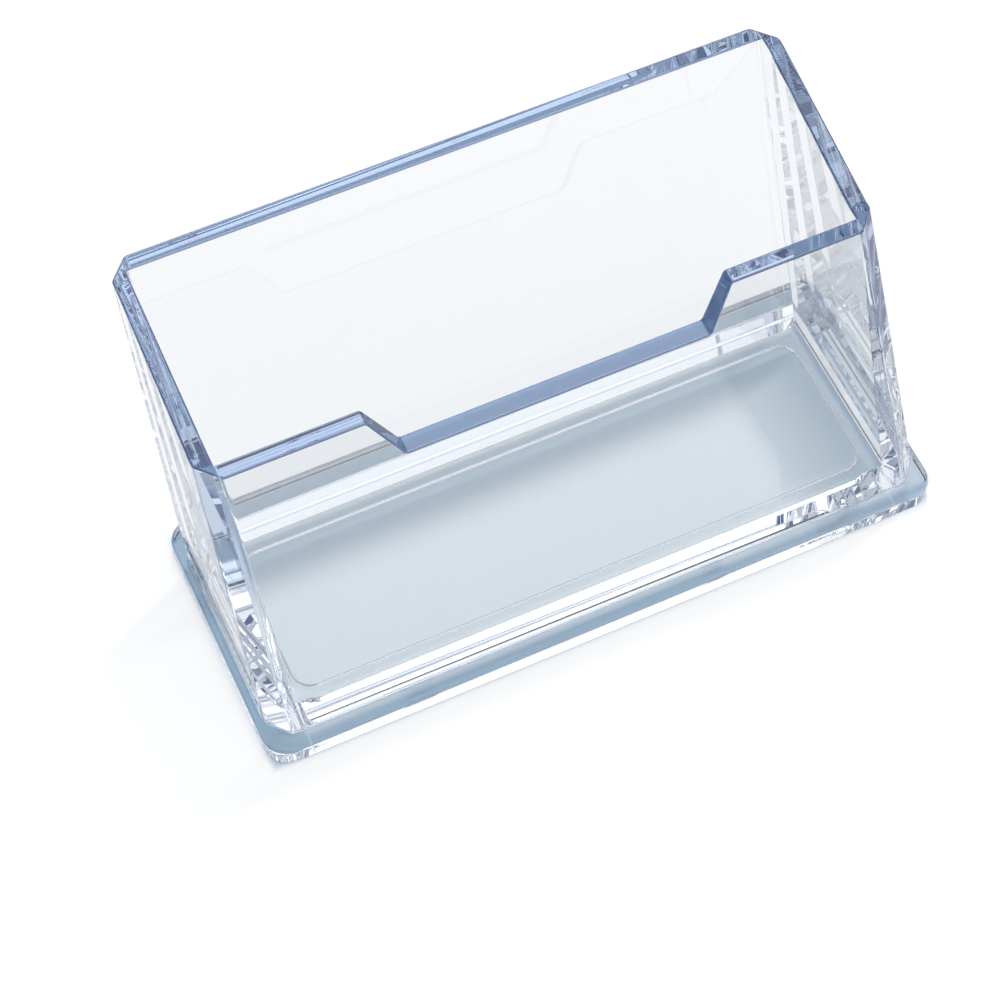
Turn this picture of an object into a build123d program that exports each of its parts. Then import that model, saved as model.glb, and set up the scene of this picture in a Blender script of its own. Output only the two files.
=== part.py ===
from build123d import *
import os
from math import cos, radians, sqrt, tan

# Business card stand in clear plastic: a base plate that carries a pocket of four cemented walls.
# Millimetres and degrees. X runs along the card, Y from front to back, Z up from the table.
# The origin is on the table, under the middle of the whole stand.

# Pocket that holds the cards
card_width = 90.0
card_slack = 0.5        # free play at each end of a card, on the pocket floor
mouth_width = 94.0      # inside width at the top of the back wall
pocket_depth = 24.2     # inside, front to back along the pocket floor
lean_angle = 25.2       # middle of the pocket, from the vertical
pocket_draft = 1.2      # front and back inner faces open upwards by this angle each

# Heights of the wall tops above the table
front_height = 40.6
back_height = 46.5

# Walls, which get thicker towards the base
rim_thickness = 2.3           # all four walls at their tops
front_foot_thickness = 4.85
back_foot_thickness = 4.5
side_foot_thickness = 4.9
corner_thickness = 1.15       # left at the rim behind the flat facet on each upright corner
corner_radius = 1.0           # softens both edges of that facet
rim_radius = 0.35             # softened top edges
rim_bend_radius = 2.0         # where a side wall's top turns from level to sloping
rim_bend_inset = 1.2          # from a cut corner to the middle of that bend
bond_gap = 0.05               # cement film between two pieces

# Thumb notch in the front wall
notch_top_width = 53.0
notch_floor_width = 44.6
notch_depth = 5.7
notch_corner_radius = 0.8

# Base plate
base_thickness = 3.6          # up to the pocket floor and the feet of the walls
front_ledge = 2.6
back_ledge = 3.4
side_ledge = 1.2
base_corner_radius = 3.7      # seen from above
base_edge_radius = 0.45
seat_height = 0.5             # step up from the ledge to the feet of the walls
seat_cove_radius = 0.4        # where that step meets the ledge

# Shallow hollow under the base, inside a rim that stands on the table
hollow_depth = 1.0
hollow_width = 88.6
hollow_length = 21.4
hollow_front_rim = 10.0       # from the front edge of the base to the hollow
hollow_corner_radius = 3.0
hollow_edge_radius = 0.6

# How far cutting shapes run past what they cut
overrun = 5.0

# Places that follow from the sizes above
front_lean = tan(radians(lean_angle - pocket_draft))
back_lean = tan(radians(lean_angle + pocket_draft))
lean_cosine = cos(radians(lean_angle))
wall_foot = base_thickness + bond_gap
rim_depth = rim_thickness / lean_cosine
front_foot_depth = front_foot_thickness / lean_cosine
back_foot_depth = back_foot_thickness / lean_cosine
corner_cut = 2 * rim_thickness - sqrt(2) * corner_thickness
level_end = max(rim_depth, corner_cut / lean_cosine) + rim_bend_inset
floor_half_width = card_width / 2 + card_slack
mouth_half_width = mouth_width / 2
foot_half_width = floor_half_width + side_foot_thickness
base_half_width = foot_half_width + side_ledge
front_foot_to_back_top = (
    front_foot_depth + pocket_depth + back_lean * (back_height - base_thickness) + rim_depth
)
front_foot_to_base_back = front_foot_depth + pocket_depth + back_foot_depth + back_ledge
overall_depth = front_ledge + max(front_foot_to_back_top, front_foot_to_base_back)
base_front = -overall_depth / 2
front_foot = base_front + front_ledge
base_back = front_foot + front_foot_to_base_back
ledge_height = base_thickness - seat_height
cut_bottom = base_thickness - overrun
cut_top = back_height + overrun
half_reach = max(base_half_width, overall_depth) + overrun


def along(start, end, start_height, end_height, height):
    """Place on the straight line from start to end, at a height."""
    return start + (end - start) * (height - start_height) / (end_height - start_height)


def front_inside(height):
    return front_foot + front_foot_depth + front_lean * (height - base_thickness)


def front_outside(height):
    top = front_inside(front_height) - rim_depth
    return along(front_foot, top, base_thickness, front_height, height)


def back_inside(height):
    foot = front_inside(base_thickness) + pocket_depth
    return foot + back_lean * (height - base_thickness)


def back_outside(height):
    foot = back_inside(base_thickness) + back_foot_depth
    top = back_inside(back_height) + rim_depth
    return along(foot, top, base_thickness, back_height, height)


def side_inside(height):
    return along(floor_half_width, mouth_half_width, base_thickness, back_height, height)


def side_outside(height):
    top = mouth_half_width + rim_thickness
    return along(foot_half_width, top, base_thickness, back_height, height)


def bar_along_x(outline):
    """Long bar along X with the given outline of (y, z) points."""
    profile = make_face(Polyline(*outline, close=True))
    return extrude(Plane.YZ * profile, amount=half_reach, both=True)


def bar_along_y(outline):
    """Long bar along Y with the given outline of (x, z) points."""
    profile = make_face(Polyline(*outline, close=True))
    return extrude(Plane.XZ * profile, amount=half_reach, both=True)


def between_walls(front_wall, back_wall, bottom):
    """Outline, seen from the side, between two leaning wall faces."""
    return [
        (front_wall(bottom), bottom),
        (back_wall(bottom), bottom),
        (back_wall(cut_top), cut_top),
        (front_wall(cut_top), cut_top),
    ]


def between_sides(side_wall, bottom, inset=0):
    """Outline, seen from the front, between the two side wall faces."""
    low = side_wall(bottom) - inset
    high = side_wall(cut_top) - inset
    return [(-low, bottom), (low, bottom), (high, cut_top), (-high, cut_top)]


def pocket_block():
    """Leaning block with the outer shape of the pocket and its four cut corners."""
    seen_from_side = bar_along_x(between_walls(front_outside, back_outside, wall_foot))
    seen_from_front = bar_along_y(between_sides(side_outside, wall_foot))
    block = seen_from_side & seen_from_front
    uprights = block.edges().filter_by(Plane.XY, reverse=True)
    block = chamfer(uprights, corner_cut)
    facet_edges = block.edges().filter_by(Plane.XY, reverse=True)
    return fillet(facet_edges, corner_radius)


def card_space():
    """Leaning space inside the four walls."""
    seen_from_side = bar_along_x(between_walls(front_inside, back_inside, cut_bottom))
    seen_from_front = bar_along_y(between_sides(side_inside, cut_bottom))
    return seen_from_side & seen_from_front


def above(rim_line, plane, reach):
    """What lies above a line of wall tops, as a bar square to the plane that the line is drawn on."""
    ends = [rim_line @ 1, rim_line @ 0]
    outer_line = Polyline(ends[0], *[(end.X, cut_top + overrun) for end in ends], ends[1])
    profile = make_face(rim_line.edges() + outer_line.edges())
    return extrude(plane * profile, amount=reach, both=True)


def above_the_walls():
    """What lies above the wall tops: level at the front and back, sloping between."""
    rim_line = FilletPolyline(
        (-half_reach, front_height),
        (front_outside(front_height) + level_end, front_height),
        (back_outside(back_height) - level_end, back_height),
        (half_reach, back_height),
        radius=rim_bend_radius,
    )
    return above(rim_line, Plane.YZ, half_reach)


def above_the_front():
    """What lies above the top of the front wall, with its flared thumb notch."""
    notch_floor = front_height - notch_depth
    rim_line = FilletPolyline(
        (-half_reach, front_height),
        (-notch_top_width / 2, front_height),
        (-notch_floor_width / 2, notch_floor),
        (notch_floor_width / 2, notch_floor),
        (notch_top_width / 2, front_height),
        (half_reach, front_height),
        radius=notch_corner_radius,
    )
    behind_wall = front_outside(front_height) + (rim_depth + level_end) / 2
    return Pos(0, behind_wall - half_reach) * above(rim_line, Plane.XZ, half_reach)


def wall_ring():
    """The four walls in one, with the notch cut and the top edges softened."""
    blank = pocket_block() - card_space()
    cutter = above_the_walls() + above_the_front()
    ring = blank - cutter
    rim = new_edges(blank, cutter, combined=ring)
    return fillet(rim, rim_radius)


def side_panels(ring):
    """Left and right walls, which run the full depth and carry the cut corners."""
    return (ring - bar_along_y(between_sides(side_inside, cut_bottom))).solids().sort_by(Axis.X)


def front_and_back_panels(ring):
    """Front and back walls, held between the side walls."""
    between = bar_along_y(between_sides(side_inside, cut_bottom, inset=bond_gap))
    return (ring & between).solids().sort_by(Axis.Y)


def base_plate():
    """Plate with round corners, a raised seat for the walls and a shallow hollow underneath."""
    middle = Pos(0, (base_front + base_back) / 2)
    outline = RectangleRounded(2 * base_half_width, base_back - base_front, base_corner_radius)
    plate = extrude(middle * outline, amount=ledge_height)
    top_and_bottom = plate.edges().filter_by(Plane.XY)
    plate = fillet(top_and_bottom, base_edge_radius)
    wall_feet = pocket_block().faces().sort_by(Axis.Z)[0]
    seat = Pos(0, 0, -bond_gap) * extrude(wall_feet, amount=base_thickness - hollow_depth, dir=(0, 0, -1))
    seated = plate + seat
    plate = fillet(new_edges(plate, seat, combined=seated), seat_cove_radius)
    hollow_outline = RectangleRounded(hollow_width, hollow_length, hollow_corner_radius)
    hollow_middle = Pos(0, base_front + hollow_front_rim + hollow_length / 2)
    hollow = extrude(hollow_middle * hollow_outline, amount=hollow_depth)
    roof = hollow.faces().sort_by(Axis.Z)[-1]
    return plate - fillet(roof.edges(), hollow_edge_radius)


ring = wall_ring()
left_side, right_side = side_panels(ring)
front, back = front_and_back_panels(ring)

os.makedirs("parts", exist_ok=True)
export_step(base_plate(), "parts/base_plate.step")
export_step(back, "parts/back_panel.step")
export_step(front, "parts/front_panel.step")
export_step(left_side, "parts/left_side_panel.step")
export_step(right_side, "parts/right_side_panel.step")
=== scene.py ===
import bpy
from mathutils import Matrix, Vector

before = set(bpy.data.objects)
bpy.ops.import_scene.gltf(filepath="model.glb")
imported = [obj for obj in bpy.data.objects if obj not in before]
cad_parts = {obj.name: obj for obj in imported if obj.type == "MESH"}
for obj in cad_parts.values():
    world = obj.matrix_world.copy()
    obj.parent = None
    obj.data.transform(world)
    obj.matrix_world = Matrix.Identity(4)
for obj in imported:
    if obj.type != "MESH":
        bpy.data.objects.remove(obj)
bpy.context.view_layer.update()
scene = bpy.context.scene

# Places in the part's frame, in metres
FRONT_LEAN = 0.445229           # run per rise of the inner face of the front wall
BACK_LEAN = 0.496404            # run per rise of the inner face of the back wall
SIDE_DRAFT = 0.0015 / 0.0429    # run per rise of the inner faces of the side walls
FLOOR_FRONT = -0.0200388        # pocket floor, between the inner feet of the walls
FLOOR_BACK = 0.0041612
FLOOR_HALF_WIDTH = 0.0455
FRONT_FOOT = -0.0253989         # outer feet of the walls
BACK_FOOT = 0.0091346
FOOT_HALF_WIDTH = 0.0504
CORNER_CUT = 0.00297            # off the upright corners of the pocket, seen from above
CORNER_SLOPE = 0.89             # width per depth along that cut
BASE_TOP = 0.0036
BASE_MIDDLE = -0.00773          # front to back
BASE_HALF_WIDTH = 0.0516
BASE_HALF_DEPTH = 0.02027
CEMENT_MIDDLE = 0.000025        # half the cement film between two pieces
CEMENT_REACH = 0.00004          # a face this near the middle of the film is a joint face

# Clear plastic with painted shade: deep blue tints on the rims and corner facets stand for the shaded table
# and dark room seen through them, and a near black line is painted along the bottom edge of the base
BENDING = 1.59                  # refractive index
HEAD_ON_GLOSS = ((BENDING - 1) / (BENDING + 1)) ** 2
GRAIN_SCALE = 90.0
MOST_ROUGH = 0.008
PLASTIC = (0.90, 0.91, 0.92, 1)
# Painted shade: the next four colours darken the corner facets, the flat and rounded tops of the walls and
# the bottom edge of the base
FACET_PAINTED_SHADE = (0.40, 0.50, 0.68, 1)
FLAT_RIM_PAINTED_SHADE = (0.25, 0.36, 0.60, 1)
ROUND_RIM_PAINTED_SHADE = (0.055, 0.10, 0.25, 1)
BOTTOM_EDGE_PAINTED_SHADE = (0.02, 0.02, 0.02, 1)
DEPTH_COLOUR = (0.25, 0.40, 0.70, 1)
DEPTH_DENSITY = 2.5

# Where those painted shade tints lie: heights and half widths in metres, and turns as parts of a face's
# normal
FACET_OUTSIDE = 0.044
FACET_FADE = (0.020, 0.026)
FACET_TURN = (0.3, 0.9)
RIM_HEIGHT = 0.03
UPWARD = 0.52
LEVEL = 0.95
BOTTOM_EDGE_HEIGHT = 0.0004
HOLLOW_HALF_WIDTH = 0.047       # both with room to spare
HOLLOW_HALF_DEPTH = 0.0155

# Painted shadow: what a lamp's light keeps on its way through the underside of the base, set by place on
# the base, not cast by the lamps
UNDERSIDE = 0.0012              # faces lower than this belong to it
OPEN_SHADE = (0.935, 0.97, 0.985, 1)        # in the hollow, and through every higher face
END_SHADE = (0.50, 0.635, 0.74, 1)          # towards the back and right ends of the hollow
HALF_SHADE = (0.45, 0.56, 0.66, 1)          # behind the pocket
RIGHT_SHADE = (0.32, 0.45, 0.58, 1)         # to the right of the pocket
# Painted light: under the back wall the tint is nearly clear, lighter than the shade around it
BACK_WALL_SHADE = (0.98, 0.99, 0.96, 1)     # under the back wall
FULL_SHADE = (0.30, 0.475, 0.63, 1)         # under the front and left ledges
# Lighter painted shade under the front wall than under the ledges
FRONT_WALL_SHADE = (0.66, 0.75, 0.84, 1)    # under the front wall
SOFT = 0.0005                   # half the width of a soft edge between two shades
ZONE_EDGE = (-SOFT, 2 * SOFT)
RIGHT_END = (0.034, FLOOR_HALF_WIDTH, 0.8)  # start, end and strength of a slow change
BACK_END = (-0.002, 0.0005, 0.9)
LEDGE_FADE = (0.0, 0.05, 0.6)

BLACK = (0, 0, 0, 1)
WHITE = (1, 1, 1, 1)

# Floor: how pale it is, and how much it is lifted where it is seen directly or through the plastic
FLOOR_REACH = 3.0
FLOOR_HEIGHT = -0.0001
UNDER_BASE = (0.9, 0.9, 0.9, 1)
NEAR_FLOOR = (0.26, 0.26, 0.26, 1)
FAR_FLOOR = (0.03, 0.03, 0.03, 1)
FAR = (0.25, 0.8)
BASE_LIFT = 0.05
NEAR_LIFT = 0.70
FAR_LIFT = 0.25
BASE_OUTLINE = (-0.001, 0.0005)

# Room: dark and pale parts, with start, end and strength of each change by direction
DARK_ROOM = (0.06, 0.11, 0.24, 1)
PALE_ROOM = (0.62, 0.65, 0.69, 1)
OVERHEAD = (0.60, 0.78)
OVERHEAD_TILT = 0.15
BEHIND = (0.3, 0.8, 0.7)
BEHIND_AIM = (0.34, 0.94)
BESIDE = (-0.3, 0.6, 0.3)
HORIZON = (0.08, 0.14)

# Lamps, all aimed at the stand: place, width, height and power
LAMP_COLOUR = (1.0, 0.985, 0.95)
KEY = ((0.46, 0.78, 1.27), 0.08, 0.08, 11.5)
SOFTBOXES = {
    "front_box": ((0.28, -0.42, 0.85), 1.0, 0.9, 2.2),
    "back_box": ((0.18, 0.67, 0.72), 0.5, 0.8, 0.9),
    "top_box": ((0.33, 0.05, 0.94), 0.55, 0.8, 1.4),
}

# Camera at the photograph's place
CAMERA_PLACE = (-0.0908928, -0.1863046, 0.3395343)
CAMERA_RIGHT = (0.9075042, -0.42004302, 0.0)
CAMERA_UP = (0.36036575, 0.77857129, 0.51377357)
CAMERA_BACK = (-0.215807, -0.46625167, 0.85792583)
SENSOR_WIDTH = 36
LENS = 98.757
CLIP_START = 0.01

BOUNCES = 40                    # clear walls seen through each other need many


class Graph:
    """Small helper that adds nodes to one node tree and joins them."""

    def __init__(self, tree):
        self.tree = tree
        tree.nodes.clear()

    def add(self, kind, **settings):
        node = self.tree.nodes.new(kind)
        for name, value in settings.items():
            setattr(node, name, value)
        return node

    def join(self, source, target):
        self.tree.links.new(source, target)

    def put(self, socket, value):
        if isinstance(value, bpy.types.NodeSocket):
            self.join(value, socket)
        else:
            socket.default_value = value

    def split(self, vector):
        node = self.add("ShaderNodeSeparateXYZ")
        self.join(vector, node.inputs[0])
        return node.outputs

    def place(self):
        """Coordinates in the part's frame."""
        return self.add("ShaderNodeTexCoord").outputs["Object"]

    def math(self, operation, *values):
        node = self.add("ShaderNodeMath", operation=operation)
        for socket, value in zip(node.inputs, values):
            self.put(socket, value)
        return node.outputs[0]

    def size(self, value):
        return self.math("ABSOLUTE", value)

    def less(self, value, taken):
        return self.math("SUBTRACT", value, taken)

    def above(self, value, limit):
        return self.math("GREATER_THAN", value, limit)

    def below(self, value, limit):
        return self.math("LESS_THAN", value, limit)

    def product(self, first, *others):
        for other in others:
            first = self.math("MULTIPLY", first, other)
        return first

    def largest(self, first, *others):
        for other in others:
            first = self.math("MAXIMUM", first, other)
        return first

    def smooth(self, value, low, high, top=1.0):
        """0 below low, top above high, and a soft step between."""
        node = self.add("ShaderNodeMapRange", interpolation_type="SMOOTHSTEP")
        self.put(node.inputs["Value"], value)
        node.inputs["From Min"].default_value = low
        node.inputs["From Max"].default_value = high
        node.inputs["To Max"].default_value = top
        return node.outputs[0]

    def fade(self, value, low, high):
        """1 below low, 0 above high, and a soft step between."""
        return self.less(1.0, self.smooth(value, low, high))

    def blend(self, factor, first, second):
        """Mix of two colours."""
        node = self.add("ShaderNodeMix", data_type="RGBA")
        for socket, value in zip((node.inputs[0], node.inputs[6], node.inputs[7]), (factor, first, second)):
            self.put(socket, value)
        return node.outputs[2]

    def mix(self, factor, first, second):
        """Mix of two shaders."""
        node = self.add("ShaderNodeMixShader")
        self.put(node.inputs[0], factor)
        self.join(first, node.inputs[1])
        self.join(second, node.inputs[2])
        return node.outputs[0]


def joint_mask(g, x, y, z):
    """1 on the faces where two pieces are cemented together, and 0 elsewhere."""
    width = g.size(x)
    rise = g.less(z, BASE_TOP)
    in_front_wall = g.below(g.math("MULTIPLY_ADD", rise, -FRONT_LEAN, y), FLOOR_FRONT)
    in_back_wall = g.above(g.math("MULTIPLY_ADD", rise, -BACK_LEAN, y), FLOOR_BACK)
    in_wall = g.largest(in_front_wall, in_back_wall)
    # Ends of the front and back walls against the side walls
    side_wall = g.math("MULTIPLY_ADD", rise, SIDE_DRAFT, FLOOR_HALF_WIDTH - CEMENT_MIDDLE)
    ends = g.product(g.math("COMPARE", width, side_wall, CEMENT_REACH), in_wall)
    # Feet of the walls on the base plate
    at_foot = g.math("COMPARE", rise, CEMENT_MIDDLE, CEMENT_REACH)
    off_floor = g.largest(in_wall, g.above(width, FLOOR_HALF_WIDTH))
    from_side = g.less(FOOT_HALF_WIDTH, width)
    from_middle = g.size(g.less(y, (FRONT_FOOT + BACK_FOOT) / 2))
    from_edge = g.less((BACK_FOOT - FRONT_FOOT) / 2, from_middle)
    from_corner = g.math("MULTIPLY_ADD", from_edge, CORNER_SLOPE, from_side)
    on_seat = g.product(g.above(from_side, 0.0), g.above(from_edge, 0.0), g.above(from_corner, CORNER_CUT))
    return g.largest(ends, g.product(at_foot, off_floor, on_seat))


def body_colour_and_painted_shade(g, x, y, z):
    """Colour of the plastic, with painted shade: deeper on the rims and the corner facets, near black on
    the bottom edge of the base.
    """
    width = g.size(x)
    turn_x, _, turn_z = g.split(g.add("ShaderNodeNewGeometry").outputs["Normal"])
    sideways = g.product(turn_x, g.math("SIGN", x))
    least_turn, most_turn = FACET_TURN
    turned = g.product(g.above(sideways, least_turn), g.below(sideways, most_turn))
    # Painted shade: corner facets seen from outside get a deeper blue tint
    on_facet = g.product(g.above(width, FACET_OUTSIDE), g.smooth(z, *FACET_FADE), turned)
    on_rim = g.product(g.above(turn_z, UPWARD), g.above(z, RIM_HEIGHT))
    # Painted shade: the tops of the walls get a deep blue tint, deepest on their rounded edges
    rim_painted_shade = g.blend(g.above(turn_z, LEVEL), ROUND_RIM_PAINTED_SHADE, FLAT_RIM_PAINTED_SHADE)
    off_hollow = g.largest(g.above(width, HOLLOW_HALF_WIDTH),
                           g.above(g.size(g.less(y, BASE_MIDDLE)), HOLLOW_HALF_DEPTH))
    # Painted shade: a near black line along the bottom edge of the base, away from the hollow
    on_bottom_edge = g.product(g.below(g.size(turn_z), LEVEL), g.below(z, BOTTOM_EDGE_HEIGHT), off_hollow)
    colour = g.blend(on_rim, g.blend(on_facet, PLASTIC, FACET_PAINTED_SHADE), rim_painted_shade)
    return g.blend(on_bottom_edge, colour, BOTTOM_EDGE_PAINTED_SHADE)


def lamp_light_and_painted_shadow(g, x, y, z):
    """What a lamp's light keeps on its way through a face, with painted shadow set by place on the
    underside of the base, where it stands on the table.
    """
    past_left = g.less(g.product(x, -1.0), FLOOR_HALF_WIDTH)
    past_right = g.less(x, FLOOR_HALF_WIDTH)
    past_front = g.less(FLOOR_FRONT, y)
    past_back = g.less(y, FLOOR_BACK)
    # Painted shadow in the hollow, behind and to the right of the pocket
    shade = g.blend(g.largest(g.smooth(x, *RIGHT_END), g.smooth(y, *BACK_END)), OPEN_SHADE, END_SHADE)
    shade = g.blend(g.smooth(g.largest(past_right, past_back), *ZONE_EDGE), shade, HALF_SHADE)
    shade = g.blend(g.smooth(past_right, *ZONE_EDGE), shade, RIGHT_SHADE)
    under_back_wall = g.product(
        g.smooth(y, FLOOR_BACK, FLOOR_BACK + 2 * SOFT),
        g.fade(y, BACK_FOOT - SOFT, BACK_FOOT + SOFT),
        g.fade(g.size(x), FLOOR_HALF_WIDTH - 2 * SOFT, FLOOR_HALF_WIDTH + 2 * SOFT),
    )
    shade = g.blend(under_back_wall, shade, BACK_WALL_SHADE)
    # Painted shadow in front and to the left of the pocket, under the ledges and the front wall
    under_front_wall = g.product(
        g.smooth(y, FRONT_FOOT - SOFT, FRONT_FOOT + SOFT),
        g.smooth(x, -FLOOR_HALF_WIDTH - 2 * SOFT, -FLOOR_HALF_WIDTH + 2 * SOFT),
    )
    ledge = g.blend(g.smooth(x, *LEDGE_FADE), FULL_SHADE, HALF_SHADE)
    front = g.blend(under_front_wall, ledge, FRONT_WALL_SHADE)
    shade = g.blend(g.smooth(g.largest(past_left, past_front), *ZONE_EDGE), shade, front)
    # Only faces of the underside carry the painted shadow; higher faces pass the open tint
    shade = g.blend(g.below(z, UNDERSIDE), OPEN_SHADE, shade)
    # A face met at a low angle turns most of that light away
    grazing = g.math("POWER", g.add("ShaderNodeLayerWeight").outputs["Facing"], 5.0)
    lost = g.math("MULTIPLY_ADD", grazing, 1 - HEAD_ON_GLOSS, HEAD_ON_GLOSS)
    return g.blend(lost, shade, BLACK)


def clear_plastic():
    material = bpy.data.materials.new("clear_plastic")
    material.use_nodes = True
    g = Graph(material.node_tree)
    place = g.place()
    x, y, z = g.split(place)
    grain = g.add("ShaderNodeTexNoise")
    g.join(place, grain.inputs["Vector"])
    grain.inputs["Scale"].default_value = GRAIN_SCALE
    grain.inputs["Detail"].default_value = 2.0
    rough = g.add("ShaderNodeMapRange")
    g.join(grain.outputs[0], rough.inputs["Value"])
    rough.inputs["To Max"].default_value = MOST_ROUGH
    body = g.add("ShaderNodeBsdfPrincipled")
    g.join(body_colour_and_painted_shade(g, x, y, z), body.inputs["Base Color"])
    g.join(rough.outputs[0], body.inputs["Roughness"])
    body.inputs["IOR"].default_value = BENDING
    body.inputs["Transmission Weight"].default_value = 1.0
    # Lamp light goes straight through, tinted by the painted shadow
    passing = g.add("ShaderNodeBsdfTransparent")
    g.join(lamp_light_and_painted_shadow(g, x, y, z), passing.inputs[0])
    rays = g.add("ShaderNodeLightPath")
    from_lamp = g.largest(rays.outputs["Is Shadow Ray"], rays.outputs["Is Diffuse Ray"])
    face = g.mix(from_lamp, body.outputs[0], passing.outputs[0])
    cement = g.add("ShaderNodeBsdfTransparent")
    inside = g.add("ShaderNodeVolumeAbsorption")
    inside.inputs["Color"].default_value = DEPTH_COLOUR
    inside.inputs["Density"].default_value = DEPTH_DENSITY
    out = g.add("ShaderNodeOutputMaterial")
    g.join(g.mix(joint_mask(g, x, y, z), face, cement.outputs[0]), out.inputs["Surface"])
    g.join(inside.outputs[0], out.inputs["Volume"])
    return material


def pale_floor():
    """Floor that the lamps light, lifted to white where it is seen directly or through the plastic."""
    material = bpy.data.materials.new("floor")
    material.use_nodes = True
    g = Graph(material.node_tree)
    x, y, _ = g.split(g.place())
    past_side = g.less(g.size(x), BASE_HALF_WIDTH)
    past_edge = g.less(g.size(g.less(y, BASE_MIDDLE)), BASE_HALF_DEPTH)
    open_floor = g.smooth(g.largest(past_side, past_edge), *BASE_OUTLINE)
    distance = g.math("SQRT", g.math("ADD", g.math("POWER", x, 2.0), g.math("POWER", y, 2.0)))
    far = g.smooth(distance, *FAR)
    matte = g.add("ShaderNodeBsdfDiffuse")
    g.join(g.blend(open_floor, UNDER_BASE, g.blend(far, NEAR_FLOOR, FAR_FLOOR)), matte.inputs["Color"])
    rays = g.add("ShaderNodeLightPath").outputs
    seen = g.largest(rays["Is Camera Ray"], rays["Is Glossy Ray"], rays["Is Transmission Ray"])
    open_lift = g.math("MULTIPLY_ADD", far, FAR_LIFT, NEAR_LIFT)
    lift = g.add("ShaderNodeEmission")
    strength = g.math("MULTIPLY_ADD", open_floor, open_lift, BASE_LIFT)
    g.join(g.product(seen, strength), lift.inputs["Strength"])
    total = g.add("ShaderNodeAddShader")
    g.join(matte.outputs[0], total.inputs[0])
    g.join(lift.outputs[0], total.inputs[1])
    out = g.add("ShaderNodeOutputMaterial")
    g.join(total.outputs[0], out.inputs["Surface"])
    corners = [(-1, -1), (1, -1), (1, 1), (-1, 1)]
    mesh = bpy.data.meshes.new("floor")
    points = [(FLOOR_REACH * across, FLOOR_REACH * along, FLOOR_HEIGHT) for across, along in corners]
    mesh.from_pydata(points, [], [(0, 1, 2, 3)])
    mesh.materials.append(material)
    floor = bpy.data.objects.new("floor", mesh)
    scene.collection.objects.link(floor)
    return floor


def room():
    """Soft light all round: pale overhead, behind and on the right, and white at the horizon."""
    world = bpy.data.worlds.new("room")
    world.use_nodes = True
    g = Graph(world.node_tree)
    x, y, z = g.split(g.add("ShaderNodeTexCoord").outputs["Generated"])
    overhead = g.smooth(g.math("MULTIPLY_ADD", x, OVERHEAD_TILT, z), *OVERHEAD)
    aim_x, aim_y = BEHIND_AIM
    behind = g.smooth(g.math("ADD", g.product(x, aim_x), g.product(y, aim_y)), *BEHIND)
    beside = g.smooth(x, *BESIDE)
    ramp = g.add("ShaderNodeValToRGB")
    g.join(g.largest(overhead, behind, beside), ramp.inputs[0])
    dark, pale = ramp.color_ramp.elements
    dark.color = DARK_ROOM
    pale.color = PALE_ROOM
    sky = g.add("ShaderNodeBackground")
    g.join(g.blend(g.fade(z, *HORIZON), ramp.outputs[0], WHITE), sky.inputs["Color"])
    out = g.add("ShaderNodeOutputWorld")
    g.join(sky.outputs[0], out.inputs["Surface"])
    return world


def softbox(name, place, width, height, power):
    data = bpy.data.lights.new(name, "AREA")
    data.shape = "RECTANGLE"
    data.size, data.size_y = width, height
    data.energy = power
    data.color = LAMP_COLOUR
    lamp = bpy.data.objects.new(name, data)
    lamp.location = place
    lamp.rotation_euler = (-Vector(place)).to_track_quat("-Z", "Y").to_euler()
    scene.collection.objects.link(lamp)
    return lamp


def photo_camera():
    data = bpy.data.cameras.new("camera")
    data.sensor_width = SENSOR_WIDTH
    data.lens = LENS
    data.clip_start = CLIP_START
    camera = bpy.data.objects.new("camera", data)
    turn = Matrix((CAMERA_RIGHT, CAMERA_UP, CAMERA_BACK)).transposed().to_4x4()
    camera.matrix_world = Matrix.Translation(CAMERA_PLACE) @ turn
    scene.collection.objects.link(camera)
    return camera


plastic = clear_plastic()
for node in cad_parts.values():
    node.data.materials.clear()
    node.data.materials.append(plastic)

floor = pale_floor()
scene.world = room()
key = softbox("key", *KEY)
key.visible_glossy = False
key.visible_transmission = False
for name, settings in SOFTBOXES.items():
    softbox(name, *settings)
scene.camera = photo_camera()

scene.view_settings.view_transform = "Standard"
scene.cycles.max_bounces = BOUNCES
scene.cycles.transmission_bounces = BOUNCES
scene.cycles.glossy_bounces = BOUNCES
scene.cycles.transparent_max_bounces = BOUNCES
